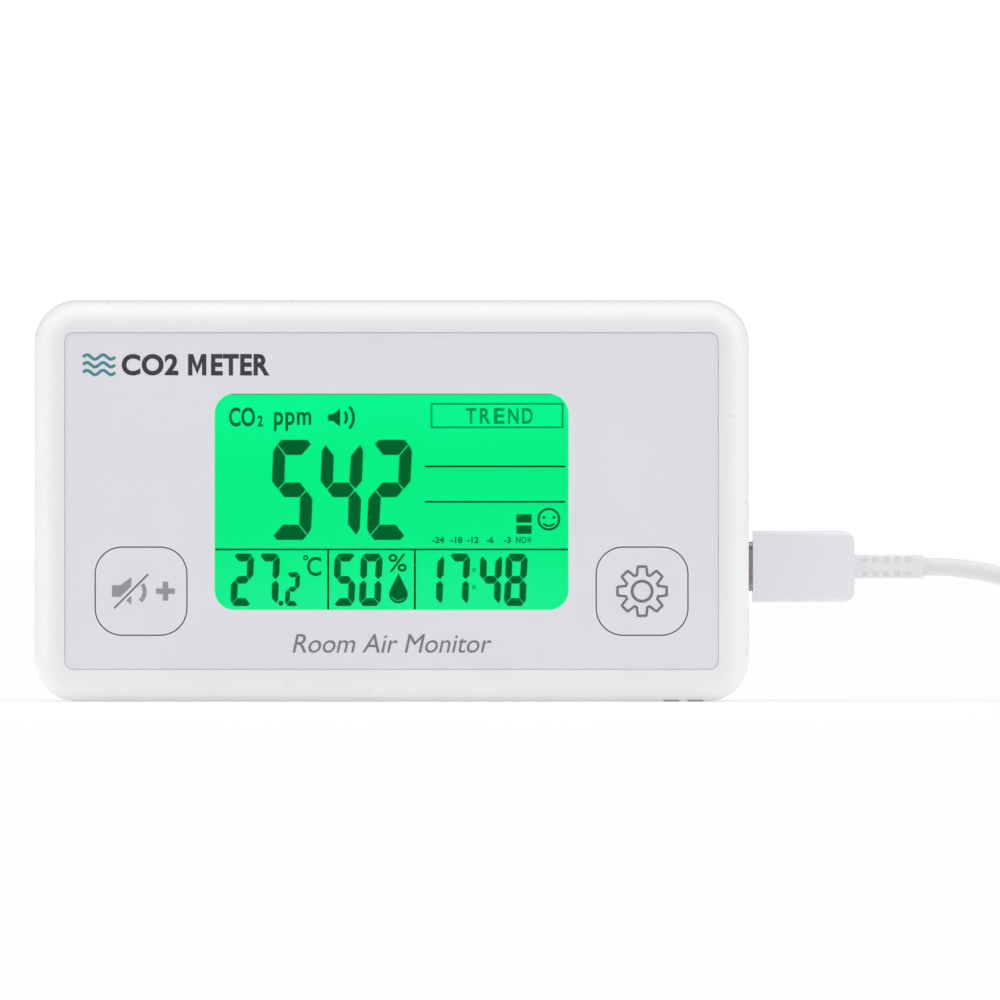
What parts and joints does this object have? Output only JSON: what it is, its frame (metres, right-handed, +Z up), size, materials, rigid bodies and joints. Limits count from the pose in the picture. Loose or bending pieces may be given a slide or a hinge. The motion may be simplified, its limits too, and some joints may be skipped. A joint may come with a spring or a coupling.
{
  "type": "carbon dioxide monitor",
  "caption": "Desk-top carbon dioxide monitor: rounded white case, grey front panel, backlit segment display, pressable keys and a plugged-in USB cable tied in a hank.",
  "frame": {"origin": "centre of the case's footprint, on the surface it stands on", "axes": "+Z up, the display faces -Y, the cable leaves towards +X"},
  "size_m": [0.307, 0.0286, 0.0675],
  "materials": {
    "case_plastic": "fine satin moulded texture",
    "panel_plastic": "smooth satin",
    "window_plastic": "clear gloss",
    "display_glass": "evenly backlit green",
    "film": "smooth film",
    "guide_acrylic": "clear",
    "frame_plastic": "plain",
    "led": "clear resin",
    "contact_rubber": "matte",
    "switch_metal": "tinned",
    "board": "solder mask gloss",
    "sensor_board": "solder mask gloss",
    "black_plastic": "moulded",
    "screw_steel": "zinc plated",
    "plug_metal": "nickel plated",
    "gold_metal": "gold flash",
    "filter_membrane": "fine white membrane",
    "plug_plastic": "smooth soft gloss",
    "cord_jacket": "satin jacket",
    "tie_strap": "woven strap"
  },
  "bodies": {
    "case": {"front_housing": "case_plastic", "rear_cover": "case_plastic", "case_screws": "screw_steel", "front_panel": "panel_plastic", "display_window": "window_plastic", "front_polarizer": "film", "lcd_cell": "display_glass", "rear_polarizer": "film", "diffuser_film": "film", "light_guide": "guide_acrylic", "reflector_film": "film", "lcd_frame": "frame_plastic", "backlight_leds": "led", "contact_strip": "contact_rubber", "switch_bodies": "switch_metal", "main_board": "board", "board_screws": "screw_steel", "microcontroller": "black_plastic", "clock_crystal": "switch_metal", "capacitors": "switch_metal", "power_inductor": "black_plastic", "voltage_regulator": "black_plastic", "buzzer": "black_plastic", "usb_socket_shell": "plug_metal", "usb_socket_tongue": "black_plastic", "cell_holder": "black_plastic", "cell_contact": "plug_metal", "backup_cell": "plug_metal", "sensor_board": "sensor_board", "sensor_chamber": "gold_metal", "infrared_lamp": "plug_metal", "infrared_detector": "plug_metal", "dust_filter": "filter_membrane", "sensor_header": "black_plastic", "sensor_standoffs": "frame_plastic", "humidity_sensor": "black_plastic"},
    "mute_button": {"mute_key": "panel_plastic", "mute_switch_plunger": "black_plastic"},
    "settings_button": {"settings_key": "panel_plastic", "settings_switch_plunger": "black_plastic"},
    "usb_cable": {"plug_shell": "plug_metal", "plug_insert": "black_plastic", "plug_body": "plug_plastic", "strain_relief": "plug_plastic", "cable_lead": "cord_jacket", "cable_hank": "cord_jacket", "hank_tie": "tie_strap", "cable_tail": "cord_jacket", "usb_a_shell": "plug_metal", "usb_a_insulator": "plug_plastic", "usb_a_body": "plug_plastic", "usb_a_relief": "plug_plastic"}
  },
  "joints": [
    {"name": "mute_key_press", "type": "slide", "parent": "case", "child": "mute_button", "axis": [0, 1, 0], "range_m": [0, 0.0005], "stiffness_N_per_m": 3000, "springref_m": -0.0002},
    {"name": "settings_key_press", "type": "slide", "parent": "case", "child": "settings_button", "axis": [0, 1, 0], "range_m": [0, 0.0005], "stiffness_N_per_m": 3000, "springref_m": -0.0002},
    {"name": "plug_pull", "type": "slide", "parent": "case", "child": "usb_cable", "axis": [1, 0, 0], "range_m": [0, 0.012]}
  ]
}
